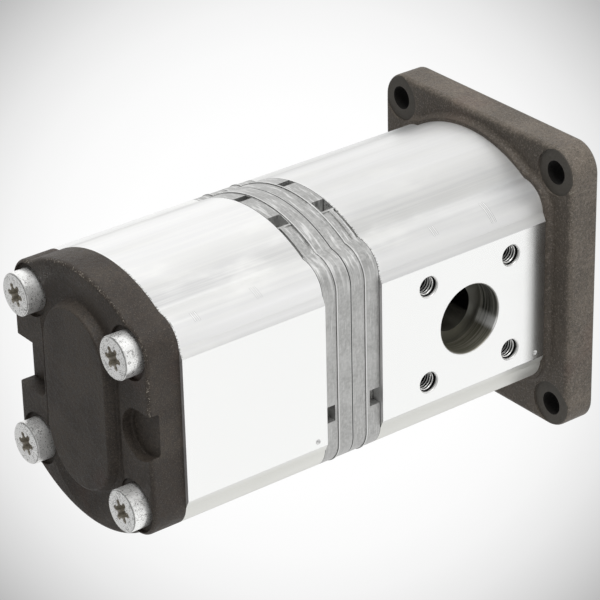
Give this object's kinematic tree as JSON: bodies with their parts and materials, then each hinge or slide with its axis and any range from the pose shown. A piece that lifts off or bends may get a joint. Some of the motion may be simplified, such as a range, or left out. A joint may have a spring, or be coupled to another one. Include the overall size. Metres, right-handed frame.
{
  "type": "tandem gear pump",
  "caption": "Tandem hydraulic gear pump: gear sections in line on one splined drive shaft, behind a bolted cast iron mounting flange.",
  "frame": {"origin": "drive shaft axis in the plane of the mounting face", "axes": "+X along the drive shaft towards the driven machine, +Z from the idler gears to the drive gears, -Y out of the suction port"},
  "size_m": [0.2256, 0.1062, 0.115],
  "materials": {
    "flange_iron": "sand cast, oiled",
    "cover_iron": "sand cast, oiled",
    "extruded_aluminium": "extruded, flats milled",
    "die_cast_aluminium": "die cast, tumbled",
    "block_aluminium": "machined",
    "ground_steel": "ground and oiled",
    "zinc_plated_steel": "zinc plated",
    "dark_steel": "blackened",
    "bush_bronze": "sliding bearing surface",
    "seal_rubber": "moulded nitrile",
    "backup_plastic": "cut sheet"
  },
  "bodies": {
    "housing": {"front_cover": "flange_iron", "end_cover": "cover_iron", "front_body": "extruded_aluminium", "rear_body": "extruded_aluminium", "front_intermediate_plate": "die_cast_aluminium", "rear_intermediate_plate": "die_cast_aluminium", "clamp_screws": "zinc_plated_steel", "dowel_pins": "dark_steel", "seal_retaining_ring": "dark_steel", "shaft_seal": "seal_rubber", "front_cover_seal": "seal_rubber", "front_plate_seal": "seal_rubber", "plate_joint_seal": "seal_rubber", "rear_plate_seal": "seal_rubber", "end_cover_seal": "seal_rubber", "front_outer_block": "block_aluminium", "front_outer_drive_bush": "bush_bronze", "front_outer_idler_bush": "bush_bronze", "front_outer_block_seal": "seal_rubber", "front_outer_backup_ring": "backup_plastic", "front_inner_block": "block_aluminium", "front_inner_drive_bush": "bush_bronze", "front_inner_idler_bush": "bush_bronze", "front_inner_block_seal": "seal_rubber", "front_inner_backup_ring": "backup_plastic", "rear_inner_block": "block_aluminium", "rear_inner_drive_bush": "bush_bronze", "rear_inner_idler_bush": "bush_bronze", "rear_inner_block_seal": "seal_rubber", "rear_inner_backup_ring": "backup_plastic", "rear_outer_block": "block_aluminium", "rear_outer_drive_bush": "bush_bronze", "rear_outer_idler_bush": "bush_bronze", "rear_outer_block_seal": "seal_rubber", "rear_outer_backup_ring": "backup_plastic"},
    "drive_train": {"front_drive_gear": "ground_steel", "coupler": "ground_steel", "rear_drive_gear": "ground_steel"},
    "front_idler": {"front_idler_gear": "ground_steel"},
    "rear_idler": {"rear_idler_gear": "ground_steel"}
  },
  "joints": [
    {"name": "drive_spin", "type": "hinge", "parent": "housing", "child": "drive_train", "pos_m": [0, 0, 0], "axis": [1, 0, 0], "continuous": true},
    {"name": "front_idler_spin", "type": "hinge", "parent": "housing", "child": "front_idler", "pos_m": [0, 0, -0.031], "axis": [1, 0, 0], "continuous": true},
    {"name": "rear_idler_spin", "type": "hinge", "parent": "housing", "child": "rear_idler", "pos_m": [0, 0, -0.031], "axis": [1, 0, 0], "continuous": true}
  ],
  "couplings": [
    {"joint": "front_idler_spin", "follows": "drive_spin", "ratio": -1},
    {"joint": "rear_idler_spin", "follows": "drive_spin", "ratio": -1}
  ]
}
